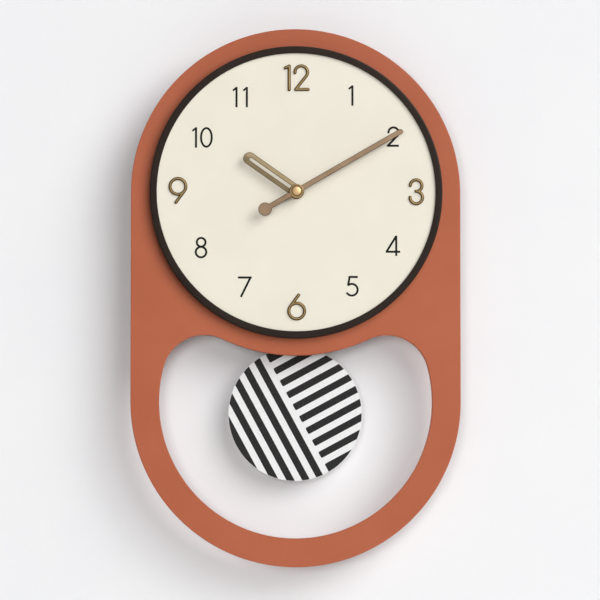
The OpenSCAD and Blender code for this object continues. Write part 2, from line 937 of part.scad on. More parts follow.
module set_knob() on_dial_axis() color("#e9e7e0") {
    radius = 6;
    ribs = 24;
    front = case_back - 0.3;
    back = front - 2.9;
    bar(setting_at, knob_arbor, back + 1, case_floor + 0.7);
    bar(setting_at, radius - 0.5, back, front);
    layer(back + 0.5, front - 0.5) translate(setting_at)
        for (n = [0 : ribs - 1]) rotate(n * 360 / ribs) translate([radius - 0.7, -0.3]) square([0.7, 0.6]);
}

// ---- Going train ----

module centre_wheel() on_dial_axis() color("#c9a45c") {
    layer(layer_centre, layer_centre + wheel_thickness)
        tooth_ring(centre_teeth, centre_module, centre_phase, inner_arbor + running);
}

module third_wheel() on_dial_axis() color("#e8e4d8") {
    wheel_and_pinion(third_at, [third_teeth, third_module, 0], [third_leaves, centre_module, 0],
        thin_arbor, layer_third, layer_centre + wheel_thickness);
}

module train_arbor(at, radius) on_dial_axis() color("#b9b9b6") {
    bar(at, radius, rear_pivot, plate_front - 0.1);
}

module third_arbor() {
    train_arbor(third_at, thin_arbor);
}

module second_wheel() on_dial_axis() color("#e8e4d8") {
    wheel_and_pinion(centre_at, [second_teeth, second_module, 0],
        [second_leaves, third_module, second_leaf_phase], thin_arbor, layer_second,
        layer_third + wheel_thickness);
}

module second_arbor() on_dial_axis() color("#b9b9b6") {
    shoulder = layer_centre - 0.3;
    turned(centre_at)
        polygon([[0, rear_pivot], [thin_arbor, rear_pivot], [thin_arbor, shoulder],
            [tip_pivot, shoulder], [tip_pivot, shoulder + 0.7], [0, shoulder + 0.7]]);
}

module intermediate_wheel() on_dial_axis() color("#e8e4d8") {
    wheel_and_pinion(intermediate_at, [intermediate_teeth, rotor_module, 0],
        [intermediate_leaves, second_module, intermediate_leaf_phase], thin_arbor,
        layer_intermediate, layer_second + wheel_thickness);
}

module intermediate_arbor() {
    train_arbor(intermediate_at, thin_arbor);
}

module rotor_pinion() on_dial_axis() color("#e8e4d8") {
    layer(magnet_front + 0.05, layer_intermediate + wheel_thickness) translate(rotor_at)
        tooth_ring(rotor_leaves, rotor_module, rotor_phase, rotor_radius);
}

module rotor_magnet() on_dial_axis() color("#55565a") {
    layer(magnet_back, magnet_front) translate(rotor_at) difference() {
        circle(2.5);
        circle(rotor_radius + touch);
    }
}

module rotor_arbor() {
    train_arbor(rotor_at, rotor_radius);
}

// ---- Pendulum ----

module pendulum_hanger() on_dial_axis() color("#e9e7e0") {
    cup = 6.2;
    clevis = 5.5;
    slot_half = rod_width / 2 + loose;
    difference() {
        union() {
            layer(arm_back, arm_front) {
                panel(-arm_half, clevis_low, arm_half, -pivot_drop);
                translate([0, -pivot_drop]) circle(arm_half);
            }
            bar([0, -pivot_drop], hub_radius, hub_back, hub_front);
            bar([0, drive_z], cup, arm_back, arm_front + 2.4);
            layer(clevis_back, arm_front) panel(-clevis, clevis_low, clevis, clevis_high);
        }
        bar([0, -pivot_drop], pin_radius + running, hub_back - 1, hub_front + 1);
        bar([0, drive_z], magnet_radius + loose, arm_front + 0.2, arm_front + 4);
        layer(bob_gap - rod_thickness - loose, bob_gap + loose)
            panel(-slot_half, clevis_low - 1, slot_half, clevis_high - 1.5);
        bar([0, rod_pin_z], rod_pin_radius + touch, clevis_back - 1, clevis_back + rod_pin_length + 0.2);
    }
}

module drive_magnet() on_dial_axis() color("#55565a") {
    bar([0, drive_z], magnet_radius, arm_front + 0.2, arm_front + 2.3);
}

module rod_pin() on_dial_axis() color("#b9b9b6") {
    bar([0, rod_pin_z], rod_pin_radius, clevis_back, clevis_back + rod_pin_length);
}

module pendulum_rod() on_dial_axis() color("#b4b5b4") {
    layer(bob_gap - rod_thickness, bob_gap) difference() {
        union() {
            panel(-rod_width / 2, rod_low, rod_width / 2, clevis_high - 4);
            translate([0, clevis_high - 4]) intersection() {
                circle(rod_width / 2);
                panel(-rod_width, 0, rod_width, 2.2);
            }
        }
        translate([0, rod_pin_z]) circle(rod_pin_radius + loose);
    }
}

module bob_disc() on_dial_axis() color("#f0f0f0") {
    bar([0, -bob_drop], bob_radius, bob_gap, bob_gap + bob_thickness);
}

module bob_clip() on_dial_axis() color("#e9e7e0") {
    half = 9;
    reach = 20;
    layer(bob_gap - 2.8, bob_gap) difference() {
        rounded_panel(-half, -bob_drop - reach, half, -bob_drop + reach, 2);
        panel(-rod_width / 2 - loose, rod_low - loose, rod_width / 2 + loose,
            -bob_drop + reach + 1);
    }
    layer(bob_gap - 2.8, bob_gap - rod_thickness - loose)
        for (z = [-bob_drop - 8, -bob_drop + 12]) panel(-half + 1, z - 3, half - 1, z + 3);
}

face_board();
bezel_ring();
dial_plate();
numeral_12();
numeral_3();
numeral_6();
numeral_9();
rail_top();
rail_left();
rail_right();
hanger_plate();
hanger_screws();
wall_bumpers();
ring_screws();
movement_case();
movement_cover();
cover_screws();
rubber_washer();
brass_washer();
hex_nut();
train_plate();
circuit_board();
quartz_crystal();
motor_core();
motor_bobbin();
motor_winding();
stator_plate();
battery_cell();
contact_positive();
contact_negative();
drive_bobbin();
drive_winding();
pivot_pin();
minute_arbor();
minute_pinion();
minute_hand();
hand_cap();
hour_pipe();
hour_wheel();
hour_hand();
reverser_wheel();
reverser_arbor();
setting_pinion();
set_knob();
centre_wheel();
third_wheel();
third_arbor();
second_wheel();
second_arbor();
intermediate_wheel();
intermediate_arbor();
rotor_pinion();
rotor_magnet();
rotor_arbor();
pendulum_hanger();
drive_magnet();
rod_pin();
pendulum_rod();
bob_disc();
bob_clip();
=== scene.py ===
import math

import bmesh
import bpy
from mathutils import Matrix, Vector
from mathutils.geometry import delaunay_2d_cdt


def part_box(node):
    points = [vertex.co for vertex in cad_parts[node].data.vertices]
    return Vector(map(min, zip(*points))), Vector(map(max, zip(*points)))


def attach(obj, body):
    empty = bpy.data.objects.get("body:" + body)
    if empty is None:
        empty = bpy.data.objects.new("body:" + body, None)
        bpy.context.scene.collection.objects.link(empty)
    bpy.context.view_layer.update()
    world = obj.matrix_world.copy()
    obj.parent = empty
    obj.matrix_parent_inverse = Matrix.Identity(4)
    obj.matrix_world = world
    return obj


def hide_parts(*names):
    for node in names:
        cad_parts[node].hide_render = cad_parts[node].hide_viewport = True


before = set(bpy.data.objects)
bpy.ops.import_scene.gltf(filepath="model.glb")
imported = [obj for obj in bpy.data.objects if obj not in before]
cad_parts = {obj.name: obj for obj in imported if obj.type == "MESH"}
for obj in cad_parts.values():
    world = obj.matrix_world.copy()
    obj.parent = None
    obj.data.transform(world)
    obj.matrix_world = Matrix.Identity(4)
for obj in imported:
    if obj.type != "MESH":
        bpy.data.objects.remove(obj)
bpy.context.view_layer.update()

# A pendulum wall clock. Lengths are in millimetres and are turned into metres by point(). A place in the
# plane of the dial is (x, z) from the dial axis, and a depth is a distance from the wall towards the room.
# The wall, the floor, the lights and the camera are in metres.

MM = 0.001


# ---- Places read from the frame ----

def node_box(node):
    low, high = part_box(node)
    return low / MM, high / MM


DIAL_LOW, DIAL_HIGH = node_box("dial_plate")
AXIS_X = (DIAL_LOW.x + DIAL_HIGH.x) / 2
AXIS_Z = (DIAL_LOW.z + DIAL_HIGH.z) / 2
DIAL_FRONT = -DIAL_LOW.y


def point(x, z, depth):
    return Vector((AXIS_X + x, -depth, AXIS_Z + z)) * MM


def centre_of(node):
    low, high = node_box(node)
    return (low.x + high.x) / 2 - AXIS_X, (low.z + high.z) / 2 - AXIS_Z


def radius_of(node):
    low, high = node_box(node)
    return (high.x - low.x) / 2


def depths_of(node):
    """Back and front of a node, as distances from the wall."""
    low, high = node_box(node)
    return -high.y, -low.y


# ---- Outlines in the plane of the dial ----
# An outer outline runs anticlockwise as seen from the front and a hole runs clockwise, so that the
# material is always on the left.

def arc(centre, radius, start, end, step=3.0):
    count = max(2, math.ceil(abs(end - start) / step))
    angles = [math.radians(start + (end - start) * i / count) for i in range(count + 1)]
    return [(centre[0] + radius * math.cos(a), centre[1] + radius * math.sin(a)) for a in angles]


def circle(centre, radius, step=3.0):
    return arc(centre, radius, 0, 360, step)[:-1]


def ellipse(centre, half_x, half_z, step):
    return [(centre[0] + half_x * x, centre[1] + half_z * z) for x, z in circle((0, 0), 1, step)]


def panel(x0, z0, x1, z1):
    return [(x0, z0), (x1, z0), (x1, z1), (x0, z1)]


def turned(points, angle):
    """Points drawn for a hand at twelve, turned clockwise to a clock angle."""
    a = math.radians(angle)
    return [(x * math.cos(a) + z * math.sin(a), z * math.cos(a) - x * math.sin(a)) for x, z in points]


def moved(points, offset):
    return [(x + offset[0], z + offset[1]) for x, z in points]


def direction(a, b):
    length = math.dist(a, b)
    return (b[0] - a[0]) / length, (b[1] - a[1]) / length


def inward_normals(loop):
    """For each corner, the move that insets both its edges by one."""
    found = []
    for i, corner in enumerate(loop):
        before = direction(loop[i - 1], corner)
        after = direction(corner, loop[(i + 1) % len(loop)])
        first, second = (-before[1], before[0]), (-after[1], after[0])
        spread = max(0.2, 1 + first[0] * second[0] + first[1] * second[1])
        found.append(((first[0] + second[0]) / spread, (first[1] + second[1]) / spread))
    return found


def fillet(points, radius, closed=True, steps=4):
    """Rounds each corner. A radius for each corner may be given as a list."""
    radii = radius if isinstance(radius, list) else [radius] * len(points)
    made = []
    for i, corner in enumerate(points):
        if radii[i] == 0 or (not closed and i in (0, len(points) - 1)):
            made.append(corner)
            continue
        to_before = direction(corner, points[i - 1])
        to_after = direction(corner, points[(i + 1) % len(points)])
        cosine = to_before[0] * to_after[0] + to_before[1] * to_after[1]
        half = math.acos(max(-1, min(1, cosine))) / 2
        back = radii[i] / math.tan(half)
        start = (corner[0] + to_before[0] * back, corner[1] + to_before[1] * back)
        end = (corner[0] + to_after[0] * back, corner[1] + to_after[1] * back)
        bisector = direction((0, 0), (to_before[0] + to_after[0], to_before[1] + to_after[1]))
        reach = radii[i] / math.sin(half)
        centre = (corner[0] + bisector[0] * reach, corner[1] + bisector[1] * reach)
        a0 = math.atan2(start[1] - centre[1], start[0] - centre[0])
        a1 = math.atan2(end[1] - centre[1], end[0] - centre[0])
        sweep = (a1 - a0 + math.pi) % (2 * math.pi) - math.pi
        made += [(centre[0] + radii[i] * math.cos(a0 + sweep * k / steps),
                  centre[1] + radii[i] * math.sin(a0 + sweep * k / steps)) for k in range(steps + 1)]
    return made


def stroke(points, width, round_ends=True):
    """The outline of a pen stroke along an open path."""
    half, last = width / 2, len(points) - 1
    sides = []
    for i, here in enumerate(points):
        before = direction(points[i - 1], here) if i > 0 else direction(here, points[1])
        after = direction(here, points[i + 1]) if i < last else before
        spread = max(0.3, 1 + before[0] * after[0] + before[1] * after[1])
        sides.append(((-before[1] - after[1]) / spread * half, (before[0] + after[0]) / spread * half))
    right = [(p[0] - s[0], p[1] - s[1]) for p, s in zip(points, sides)]
    left = [(p[0] + s[0], p[1] + s[1]) for p, s in zip(points, sides)]
    if not round_ends:
        return right + left[::-1]
    start = math.degrees(math.atan2(sides[0][1], sides[0][0]))
    end = math.degrees(math.atan2(sides[-1][1], sides[-1][0]))
    return (right + arc(points[-1], half, end - 180, end, 20)[1:-1] + left[::-1]
            + arc(points[0], half, start, start + 180, 20)[1:-1])


def signed_area(loop):
    return sum(a[0] * b[1] - b[0] * a[1] for a, b in zip(loop, loop[1:] + loop[:1])) / 2


def face_order(start, loop):
    """Places of a loop's corners in the list of all corners, anticlockwise."""
    places = list(range(start, start + len(loop)))
    return places if signed_area(loop) > 0 else places[::-1]


def triangles_of(shapes):
    """Triangles of the union of shapes. A shape is an outer outline and its holes."""
    corners, faces, owners = [], [], []
    for index, (outer, holes) in enumerate(shapes):
        for loop in [outer, *holes]:
            faces.append(face_order(len(corners), loop))
            owners.append((index, loop is not outer))
            corners += [Vector(p) for p in loop]
    points, _, triangles, _, _, sources = delaunay_2d_cdt(corners, [], faces, 1, 1e-5)
    kept = []
    for triangle, source in zip(triangles, sources):
        within = {}
        for face in source:
            index, hole = owners[face]
            within.setdefault(index, []).append(hole)
        if any(not any(holes) for holes in within.values()):
            kept.append(tuple(triangle))
    return points, kept


def outlines(shapes):
    """The outlines of the union of shapes."""
    points, triangles = triangles_of(shapes)
    edges = {(t[i], t[(i + 1) % 3]) for t in triangles for i in range(3)}
    follow = {a: b for a, b in sorted(edges) if (b, a) not in edges}
    loops = []
    while follow:
        at, loop = next(iter(follow)), []
        while at in follow:
            loop.append(tuple(points[at]))
            at = follow.pop(at)
        loops.append(loop)
    return loops


# ---- Solids ----

def edge_levels(back, front, back_edge, front_edge, steps):
    """(inset, depth) from back to front, with quarter rounds of (width, height) at both edges."""
    angles = [math.pi / 2 * k / steps for k in range(steps + 1)]
    start, end = [(0, back)], [(0, front)]
    if back_edge[0]:
        start = [(back_edge[0] * (1 - math.sin(a)), back + back_edge[1] * (1 - math.cos(a))) for a in angles]
    if front_edge[0]:
        end = [(front_edge[0] * (1 - math.cos(a)), front - front_edge[1] * (1 - math.sin(a))) for a in angles]
    return start + end


def add_plate(mesh, loops, back, front, edge=(0, 0), back_edge=None, steps=3, side=0, lit_steps=0, rear=0):
    """A flat solid between two depths. Its side faces, except the last lit_steps bands of the front
    edge, take the material at index side, and its back takes the one at index rear."""
    back_edge = edge if back_edge is None else back_edge
    levels = edge_levels(back, front, back_edge, edge, steps)
    first_ring, last_ring = [], []
    for loop in loops:
        normals = inward_normals(loop)
        rings = [[mesh.verts.new(point(x + nx * inset, z + nz * inset, depth))
                  for (x, z), (nx, nz) in zip(loop, normals)] for inset, depth in levels]
        for band, (lower, upper) in enumerate(zip(rings, rings[1:])):
            for i in range(len(loop)):
                j = (i + 1) % len(loop)
                face = mesh.faces.new((lower[i], lower[j], upper[j], upper[i]))
                face.material_index = side if band < len(rings) - 1 - lit_steps else 0
        first_ring += rings[0]
        last_ring += rings[-1]
    fill_end(mesh, [inset_loop(loop, levels[0][0]) for loop in loops], first_ring, False, rear)
    fill_end(mesh, [inset_loop(loop, levels[-1][0]) for loop in loops], last_ring, True, 0)


def inset_loop(loop, inset):
    return [(x + nx * inset, z + nz * inset) for (x, z), (nx, nz) in zip(loop, inward_normals(loop))]


def fill_end(mesh, loops, ring, front, material):
    """Fills the flat front or back of a plate, whose corners in the mesh are ring."""
    corners = [Vector(p) for loop in loops for p in loop]
    faces, start = [], 0
    for loop in loops:
        faces.append(face_order(start, loop))
        start += len(loop)
    points, _, triangles, origins, _, sources = delaunay_2d_cdt(corners, [], faces, 1, 1e-7)
    if len(points) != len(corners):
        raise ValueError("an outline crosses itself")
    for triangle, source in zip(triangles, sources):
        if len(source) % 2:
            order = triangle if front else triangle[::-1]
            mesh.faces.new([ring[origins[i][0]] for i in order]).material_index = material


def facing(centre):
    """Places a turned solid on an axis that runs from the wall to the room."""
    return lambda u, v, along: point(centre[0] + u, centre[1] + v, along)


ON_AXIS = facing((0, 0))


def lying(z, depth):
    """Places a turned solid on an axis that runs from left to right."""
    return lambda u, v, along: point(along, z + u, depth + v)


def add_lathe(mesh, profile, place, steps=96, closed=False, material=0):
    """A turned solid. The profile is (radius, distance along the axis)."""
    rings = []
    for radius, along in profile:
        if radius < 1e-6:
            rings.append([mesh.verts.new(place(0, 0, along))] * steps)
            continue
        angles = [2 * math.pi * i / steps for i in range(steps)]
        rings.append([mesh.verts.new(place(radius * math.cos(a), radius * math.sin(a), along))
                      for a in angles])
    for lower, upper in zip(rings, rings[1:] + (rings[:1] if closed else [])):
        for i in range(steps):
            j = (i + 1) % steps
            corners = list(dict.fromkeys((lower[i], lower[j], upper[j], upper[i])))
            if len(corners) > 2:
                mesh.faces.new(corners).material_index = material


def fused(meshes):
    """One bmesh, the union of several."""
    parts = []
    for mesh in meshes:
        bmesh.ops.recalc_face_normals(mesh, faces=mesh.faces)
        data = bpy.data.meshes.new("part")
        mesh.to_mesh(data)
        mesh.free()
        parts.append(bpy.data.objects.new("part", data))
        bpy.context.scene.collection.objects.link(parts[-1])
    for other in parts[1:]:
        join = parts[0].modifiers.new("Join", "BOOLEAN")
        join.operation = "UNION"
        join.solver = "EXACT"
        join.object = other
    graph = bpy.context.evaluated_depsgraph_get()
    whole = bmesh.new()
    whole.from_mesh(parts[0].evaluated_get(graph).to_mesh())
    for part in parts:
        bpy.data.meshes.remove(part.data)
    return whole


def make_piece(name, mesh, body, finishes, replaced=(), sharp=38):
    """Turns a bmesh into a piece that rides on a body and stands for CAD nodes."""
    bmesh.ops.recalc_face_normals(mesh, faces=mesh.faces)
    data = bpy.data.meshes.new(name)
    mesh.to_mesh(data)
    mesh.free()
    data.shade_smooth()
    data.set_sharp_from_angle(angle=math.radians(sharp))
    for finish in finishes:
        data.materials.append(finish)
    piece = bpy.data.objects.new(name, data)
    bpy.context.scene.collection.objects.link(piece)
    normals = piece.modifiers.new("Normals", "WEIGHTED_NORMAL")
    normals.keep_sharp = True
    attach(piece, body)
    if replaced:
        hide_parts(*replaced)
    return piece


# ---- Materials ----
# Each is made from nodes in the object's own coordinates, which are the frame's metres.

def tone(red, green, blue):
    """A colour given as 0 to 255 in sRGB, as the linear values that a shader takes."""
    values = [v / 255 for v in (red, green, blue)]
    return [*(v / 12.92 if v <= 0.04045 else ((v + 0.055) / 1.055) ** 2.4 for v in values), 1.0]


class Finish:
    """A procedural material while it is being made. Constants are named after the shader's sockets."""

    def __init__(self, name, **constants):
        self.material = bpy.data.materials.new(name)
        self.material.use_nodes = True
        self.tree = self.material.node_tree
        self.shader = self.tree.nodes["Principled BSDF"]
        self.coords = self.tree.nodes.new("ShaderNodeTexCoord").outputs["Object"]
        for socket, value in constants.items():
            self.shader.inputs[socket.replace("_", " ").title().replace("Ior", "IOR")].default_value = value

    def fill(self, node, values):
        for socket, value in values.items():
            if isinstance(value, bpy.types.NodeSocket):
                self.tree.links.new(value, node.inputs[socket])
            else:
                node.inputs[socket].default_value = value

    def stretched(self, x, y, z):
        node = self.tree.nodes.new("ShaderNodeMapping")
        self.fill(node, {"Vector": self.coords, "Scale": (x, y, z)})
        return node.outputs["Vector"]

    def noise(self, size, detail=3.0, roughness=0.5, vector=None):
        """Noise whose features are about size millimetres across."""
        node = self.tree.nodes.new("ShaderNodeTexNoise")
        self.fill(node, {"Vector": vector or self.coords, "Scale": 1 / (size * MM), "Detail": detail,
                         "Roughness": roughness})
        return node.outputs["Fac"]

    def remap(self, value, low, high, to_low, to_high):
        node = self.tree.nodes.new("ShaderNodeMapRange")
        self.fill(node, {"Value": value, "From Min": low, "From Max": high, "To Min": to_low,
                         "To Max": to_high})
        return node.outputs["Result"]

    def mix(self, factor, first, second):
        """A mix of two colours, whose sockets share their names with those for numbers."""
        node = self.tree.nodes.new("ShaderNodeMix")
        node.data_type = "RGBA"
        first_socket, second_socket, result = 6, 7, 2
        self.fill(node, {"Factor": factor, first_socket: first, second_socket: second})
        return node.outputs[result]

    def clouds(self, size, detail, low, high, roughness=0.5):
        """Two close tones in soft clouds about size millimetres across."""
        share = self.remap(self.noise(size, detail, roughness), 0.35, 0.65, 0, 1)
        return self.mix(share, tone(*low), tone(*high))

    def colour(self, socket):
        self.tree.links.new(socket, self.shader.inputs["Base Color"])

    def rough(self, value, low, high):
        self.tree.links.new(self.remap(value, 0.3, 0.7, low, high), self.shader.inputs["Roughness"])

    def bump(self, height, depth, strength=1.0):
        """Relief of about depth millimetres. A second call adds to the first."""
        node = self.tree.nodes.new("ShaderNodeBump")
        self.fill(node, {"Height": height, "Distance": depth * MM, "Strength": strength})
        if self.shader.inputs["Normal"].is_linked:
            self.tree.links.new(self.shader.inputs["Normal"].links[0].from_socket, node.inputs["Normal"])
        self.tree.links.new(node.outputs["Normal"], self.shader.inputs["Normal"])


def paint(name, low, high, mottle, peel, roughness, relief=0.02):
    """Sprayed paint: two close tones in soft clouds, fine orange peel and dust-fine specks."""
    made = Finish(name, ior=1.45, specular_ior_level=0.2)
    skin = made.noise(peel, 2)
    specks = made.noise(peel / 4, 1)
    base = made.clouds(mottle, 2, low, high)
    made.colour(made.mix(made.remap(specks, 0.3, 0.75, 0, 0.12), base, tone(*[v * 0.8 for v in low])))
    made.rough(skin, *roughness)
    made.bump(skin, relief)
    made.bump(specks, relief / 3)
    return made.material


def moulded(name, low, high, roughness, relief=0.03, subsurface=0.0):
    """Moulded plastic with a fine spark-eroded texture and faint flow clouds."""
    made = Finish(name, ior=1.47, subsurface_weight=subsurface)
    grain = made.noise(0.35, 2, 0.6)
    made.colour(made.clouds(14, 3, low, high))
    made.rough(grain, *roughness)
    made.bump(grain, relief)
    return made.material


def metal(name, low, high, roughness, stretch=(1, 1, 1), size=0.5, relief=0.008):
    """Metal with a drawn or ground grain along one direction and faint tarnish clouds."""
    made = Finish(name, metallic=1.0)
    grain = made.noise(size, 3, 0.6, made.stretched(*stretch))
    made.colour(made.clouds(9, 3, low, high))
    made.rough(grain, *roughness)
    made.bump(grain, relief)
    return made.material


def printed(name, ink, fleck, share):
    """Ink or coating on a fine canvas grain, whose tops catch less of it."""
    made = Finish(name, ior=1.45, specular_ior_level=0.2)
    grain = made.noise(0.55, 2, 0.7)
    tooth = made.noise(1.4, 3, 0.6)
    flecks = made.remap(grain, 0.52, 0.72, 0, share)
    base = made.mix(made.remap(tooth, 0.3, 0.7, 0, 0.25), tone(*ink), tone(*[min(255, v * 1.1) for v in ink]))
    made.colour(made.mix(flecks, base, tone(*fleck)))
    made.rough(tooth, 0.5, 0.72)
    made.bump(grain, 0.03)
    return made.material


BOARD_PAINT = paint("terracotta_paint", (181, 97, 65), (186, 101, 69), 60, 1.1, (0.42, 0.56))
RAIL_PAINT = paint("terracotta_rail_paint", (166, 84, 56), (174, 91, 62), 30, 0.9, (0.55, 0.7), 0.05)
RING_BLACK = paint("ring_black_lacquer", (38, 29, 23), (43, 34, 28), 40, 0.8, (0.38, 0.5), 0.012)
DIAL_CREAM = paint("dial_cream_coat", (234, 228, 212), (237, 231, 216), 50, 0.7, (0.55, 0.68), 0.012)
PRINT_BLACK = paint("dial_print", (22, 20, 16), (28, 26, 21), 12, 0.5, (0.45, 0.6), 0.01)
BOB_WHITE = printed("bob_white", (233, 233, 233), (192, 192, 192), 0.55)
BOB_BLACK = printed("bob_black_ink", (36, 35, 35), (92, 91, 90), 0.4)
NUMERAL_TOP = metal("numeral_bronze", (178, 153, 106), (166, 141, 96), (0.34, 0.5), (1, 1, 3), 0.5)
# The numerals' rounded sides are a darker copy of their bronze: painted shade, with only the front band of
# each edge left in the lit colour.
NUMERAL_PAINTED_SHADE = metal("numeral_bronze_painted_shade", (80, 56, 28), (69, 48, 23), (0.45, 0.6), (1, 3, 1), 0.5)
HAND_TOP = metal("hand_bronze", (177, 150, 123), (165, 138, 111), (0.4, 0.55), (1, 1, 1), 0.4, 0.012)
HAND_OLIVE = metal("hand_olive_bronze", (168, 149, 115), (157, 139, 106), (0.4, 0.55), (1, 1, 1), 0.4, 0.012)
HAND_RIM = metal("hand_rim_bronze", (186, 158, 112), (174, 146, 101), (0.35, 0.5), (1, 1, 1), 0.4, 0.012)
# The hands' rounded edges, their collets and the cap's foot are a darker copy of the hands' bronze: painted
# shade.
HAND_PAINTED_SHADE = metal("hand_bronze_painted_shade", (82, 64, 44), (70, 55, 37), (0.4, 0.55), (1, 1, 1), 0.4)
BRASS = metal("cap_brass", (248, 214, 162), (238, 200, 146), (0.5, 0.6), (1, 1, 1), 0.6)
STEEL = metal("zinc_steel", (190, 190, 186), (172, 173, 172), (0.28, 0.45), (1, 1, 6), 0.5)
ROD_METAL = metal("rod_metal", (182, 182, 180), (168, 168, 168), (0.25, 0.4), (1, 1, 0.06), 0.3)
BRASS_PART = metal("brass_part", (214, 178, 112), (198, 160, 96), (0.25, 0.4), (1, 1, 1), 0.5)
LAMINATION = metal("lamination_steel", (150, 152, 156), (132, 134, 140), (0.35, 0.5), (6, 1, 1), 0.4)
COPPER = metal("copper_wire", (206, 116, 70), (184, 92, 52), (0.25, 0.4), (1, 12, 1), 0.5, 0.03)
FERRITE = moulded("ferrite", (58, 57, 60), (46, 46, 50), (0.4, 0.6), 0.02)
CASE_BLACK = moulded("movement_black_plastic", (40, 40, 42), (33, 33, 35), (0.42, 0.62), 0.04)
GEAR_PLASTIC = moulded("gear_plastic", (236, 230, 214), (226, 219, 202), (0.35, 0.5), 0.015, 0.1)
WHITE_PLASTIC = moulded("white_plastic", (236, 236, 232), (226, 226, 222), (0.35, 0.5), 0.02, 0.05)
BOARD_GREEN = moulded("board_green", (34, 96, 62), (28, 84, 54), (0.3, 0.45), 0.02)
RUBBER = moulded("felt_rubber", (44, 43, 41), (36, 35, 33), (0.75, 0.92), 0.08)
CELL_WRAP = moulded("cell_wrap", (60, 92, 128), (54, 84, 118), (0.22, 0.32), 0.006)
CELL_BAND = moulded("cell_band", (214, 216, 218), (204, 206, 208), (0.22, 0.32), 0.006)


# ---- Face board ----

BOARD_BACK, BOARD_FRONT = depths_of("face_board")
BOARD_END = radius_of("face_board")
LOWER_CENTRE = node_box("face_board")[0].z - AXIS_Z + BOARD_END
BOARD_EDGE = (0.9, 0.9)

WINDOW_RADIUS = 124
EAR_RADIUS = 38
BRIDGE_RADIUS = 158
BRIDGE_DROP = 148


def window_outline():
    """The bottom arc, two tangent corners and the tangent arc under the dial, as a hole."""
    bridge_centre = BRIDGE_RADIUS - BRIDGE_DROP
    reach = WINDOW_RADIUS - EAR_RADIUS
    span = BRIDGE_RADIUS + EAR_RADIUS
    rise = bridge_centre - LOWER_CENTRE
    lift = math.acos((reach ** 2 + rise ** 2 - span ** 2) / (2 * reach * rise))
    ear = reach * math.sin(lift), LOWER_CENTRE + reach * math.cos(lift)
    low = 90 - math.degrees(lift)
    high = math.degrees(math.atan2(bridge_centre - ear[1], -ear[0]))
    loop = arc((0, LOWER_CENTRE), WINDOW_RADIUS, 180 - low, 360 + low, 1.5)[:-1]
    loop += arc(ear, EAR_RADIUS, low, high, 2)[:-1]
    loop += arc((0, bridge_centre), BRIDGE_RADIUS, high - 180, -high, 1.5)[:-1]
    loop += arc((-ear[0], ear[1]), EAR_RADIUS, 180 - high, 180 - low, 2)[:-1]
    return loop[::-1]


CASE_LOW, CASE_HIGH = node_box("movement_case")
CASE_GAP, CASE_CORNER = 1, 3


def build_board():
    """The board with its window, and the opening behind the dial that takes the movement."""
    left, bottom = CASE_LOW.x - AXIS_X - CASE_GAP, CASE_LOW.z - AXIS_Z - CASE_GAP
    right, top = CASE_HIGH.x - AXIS_X + CASE_GAP, CASE_HIGH.z - AXIS_Z + CASE_GAP
    mesh = bmesh.new()
    outer = arc((0, 0), BOARD_END, 0, 180, 1) + arc((0, LOWER_CENTRE), BOARD_END, 180, 360, 1)
    opening = fillet(panel(left, bottom, right, top), CASE_CORNER)[::-1]
    add_plate(mesh, [outer, window_outline(), opening], BOARD_BACK, BOARD_FRONT, BOARD_EDGE, steps=4, rear=1)
    return make_piece("painted_board", mesh, "root", [BOARD_PAINT, RAIL_PAINT],
                      ["face_board"])


BOARD = build_board()


# ---- Drum and dial ----

DRUM_RADIUS = radius_of("bezel_ring")
DRUM_BACK, DRUM_FRONT = depths_of("bezel_ring")
DRUM_WALL = 4
LIP_RADIUS = 126.5
DIAL_RADIUS = radius_of("dial_plate")
DIAL_BACK = depths_of("dial_plate")[0]
BUSHING_RADIUS = 4


def build_drum():
    """The drum's wall with its lip over the dial, turned in one piece."""
    wall_inside = DRUM_RADIUS - DRUM_WALL
    mesh = bmesh.new()
    profile = [(wall_inside, DRUM_BACK), (DRUM_RADIUS, DRUM_BACK), (DRUM_RADIUS, DRUM_FRONT),
               (LIP_RADIUS, DRUM_FRONT), (LIP_RADIUS, DIAL_FRONT), (wall_inside, DIAL_FRONT)]
    add_lathe(mesh, fillet(profile, [0.3, 0.3, 1.6, 0.7, 0.2, 0.2], steps=5), ON_AXIS, 256, closed=True)
    make_piece("drum_ring", mesh, "root", [RING_BLACK], ["bezel_ring"])


def build_dial():
    mesh = bmesh.new()
    hole = BUSHING_RADIUS + 0.1
    profile = [(hole, DIAL_BACK), (DIAL_RADIUS, DIAL_BACK), (DIAL_RADIUS, DIAL_FRONT), (hole, DIAL_FRONT)]
    add_lathe(mesh, fillet(profile, [0.2, 0.4, 0.4, 0.2]), ON_AXIS, 192, closed=True)
    make_piece("dial_face", mesh, "root", [DIAL_CREAM], ["dial_plate"])


build_drum()
build_dial()


# ---- Printed numerals ----

PRINT_WIDTH = 1.9
PRINT_HEIGHT = 0.12


def pen(points, width=PRINT_WIDTH):
    """A pen stroke with square ends, as a shape without holes."""
    return stroke(points, width, round_ends=False), []


def upright(x, low, high):
    """A one: an upright with a short, thinner flag at its top."""
    flag, flag_drop, flag_width = 3.3, 0.7, 0.9 * PRINT_WIDTH
    return [pen([(x, low), (x, high)]), pen([(x - flag, high - flag), (x, high - flag_drop)], flag_width)]


def ring_shape(outer, inner):
    """A shape with one hole."""
    return outer, [inner[::-1]]


def printed_ring(centre, half_x, half_z, step):
    inner = ellipse(centre, half_x - PRINT_WIDTH, half_z - PRINT_WIDTH, step)
    return ring_shape(ellipse(centre, half_x, half_z, step), inner)


